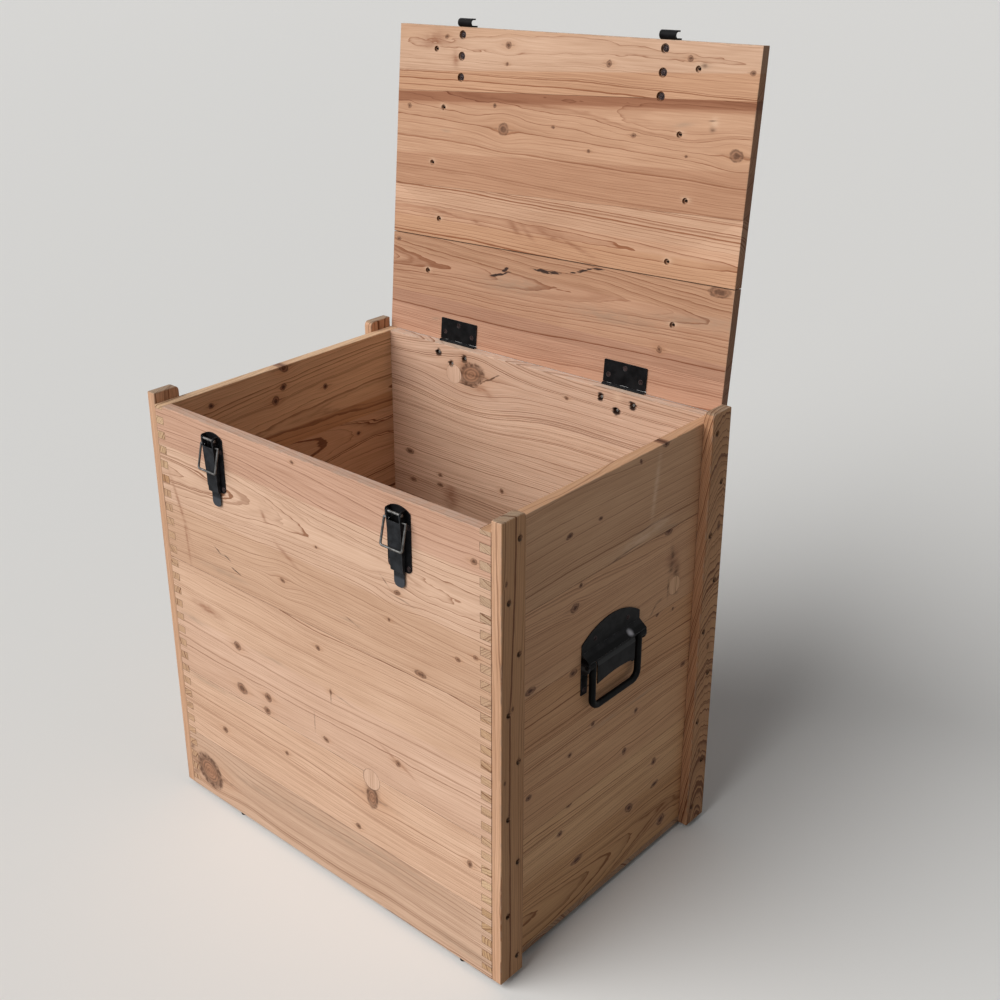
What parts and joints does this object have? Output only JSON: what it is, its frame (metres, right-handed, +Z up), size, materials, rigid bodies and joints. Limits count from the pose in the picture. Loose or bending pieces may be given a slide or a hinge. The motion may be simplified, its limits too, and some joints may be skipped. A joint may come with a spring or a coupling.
{
  "type": "wooden storage chest",
  "caption": "Upright wooden chest with finger-jointed walls, corner posts, an open hinged lid, draw latches on the front and drop handles on the ends.",
  "frame": {"origin": "on the floor, under the middle of the box that holds the chest with its lid open", "axes": "+X to the right along the front, the front faces -Y, +Z up"},
  "size_m": [0.63, 0.5398, 1.0923],
  "materials": {
    "wall_pine": "bare planed softwood boards, flat grain with dark latewood lines, matt",
    "end_pine": "bare planed softwood boards, a little darker than the front, matt",
    "floor_pine": "bare softwood boards, matt",
    "post_pine": "bare planed softwood, upright grain, matt",
    "lid_pine": "bare planed softwood boards in lighter and darker strips, matt",
    "plug_wood": "pale wood repair plugs sanded flush, matt",
    "black_steel": "black lacquered sheet steel, satin, worn grey on the edges",
    "bail_steel": "black lacquered wire worn to grey, satin",
    "bright_steel": "zinc plated bolts with bright cut ends",
    "screw_steel": "blackened steel screws, bolts and nuts, dull, with worn rims",
    "nail_steel": "dark oxidised nails",
    "glide_rubber": "black furniture glides"
  },
  "bodies": {
    "chest": {"front_board_bottom": "wall_pine", "front_board_lower": "wall_pine", "front_board_upper": "wall_pine", "front_board_top": "wall_pine", "back_board_bottom": "wall_pine", "back_board_lower": "wall_pine", "back_board_upper": "wall_pine", "back_board_top": "wall_pine", "left_board_bottom": "end_pine", "left_board_lower": "end_pine", "left_board_upper": "end_pine", "left_board_top": "end_pine", "right_board_bottom": "end_pine", "right_board_lower": "end_pine", "right_board_upper": "end_pine", "right_board_top": "end_pine", "floor_board_front": "floor_pine", "floor_board_middle": "floor_pine", "floor_board_back": "floor_pine", "post_front_left": "post_pine", "post_front_right": "post_pine", "post_back_left": "post_pine", "post_back_right": "post_pine", "post_nails": "nail_steel", "glides": "glide_rubber", "wood_plugs": "plug_wood", "left_hinge_wall_leaf": "black_steel", "left_hinge_pin": "bail_steel", "right_hinge_wall_leaf": "black_steel", "right_hinge_pin": "bail_steel", "hinge_wall_bolts": "bright_steel", "left_latch_base": "black_steel", "left_latch_pin": "bail_steel", "right_latch_base": "black_steel", "right_latch_pin": "bail_steel", "latch_screws": "screw_steel", "left_handle_plate": "black_steel", "right_handle_plate": "black_steel", "handle_screws": "screw_steel"},
    "lid": {"lid_board_hinge": "lid_pine", "lid_board_second": "lid_pine", "lid_board_third": "lid_pine", "lid_board_front": "lid_pine", "lid_batten_left": "post_pine", "lid_batten_right": "post_pine", "lid_nails": "nail_steel", "left_hinge_lid_leaf": "black_steel", "right_hinge_lid_leaf": "black_steel", "hinge_lid_screws": "screw_steel", "left_keeper": "black_steel", "right_keeper": "black_steel", "keeper_bolts": "screw_steel"},
    "left_lever": {"left_latch_lever": "black_steel"},
    "left_bail": {"left_latch_bail": "bail_steel"},
    "left_handle": {"left_handle_bail": "black_steel"},
    "right_lever": {"right_latch_lever": "black_steel"},
    "right_bail": {"right_latch_bail": "bail_steel"},
    "right_handle": {"right_handle_bail": "black_steel"}
  },
  "joints": [
    {"name": "lid_hinge", "type": "hinge", "parent": "chest", "child": "lid", "pos_m": [0, 0.1992, 0.6283], "axis": [1, 0, 0], "range_deg": [0, 95]},
    {"name": "left_lever_pivot", "type": "hinge", "parent": "chest", "child": "left_lever", "pos_m": [-0.176, -0.26155, 0.6115], "axis": [-1, 0, 0], "range_deg": [0, 120]},
    {"name": "left_bail_pivot", "type": "hinge", "parent": "left_lever", "child": "left_bail", "pos_m": [-0.176, -0.26029, 0.602], "axis": [1, 0, 0], "range_deg": [-164.1, 0]},
    {"name": "right_lever_pivot", "type": "hinge", "parent": "chest", "child": "right_lever", "pos_m": [0.162, -0.26155, 0.6115], "axis": [-1, 0, 0], "range_deg": [0, 120]},
    {"name": "right_bail_pivot", "type": "hinge", "parent": "right_lever", "child": "right_bail", "pos_m": [0.162, -0.26029, 0.602], "axis": [1, 0, 0], "range_deg": [-164.1, 0]},
    {"name": "left_handle_swing", "type": "hinge", "parent": "chest", "child": "left_handle", "pos_m": [-0.3095, -0.02679, 0.385], "axis": [0, 1, 0], "range_deg": [0, 90]},
    {"name": "right_handle_swing", "type": "hinge", "parent": "chest", "child": "right_handle", "pos_m": [0.3095, -0.02679, 0.385], "axis": [0, -1, 0], "range_deg": [0, 90]}
  ]
}
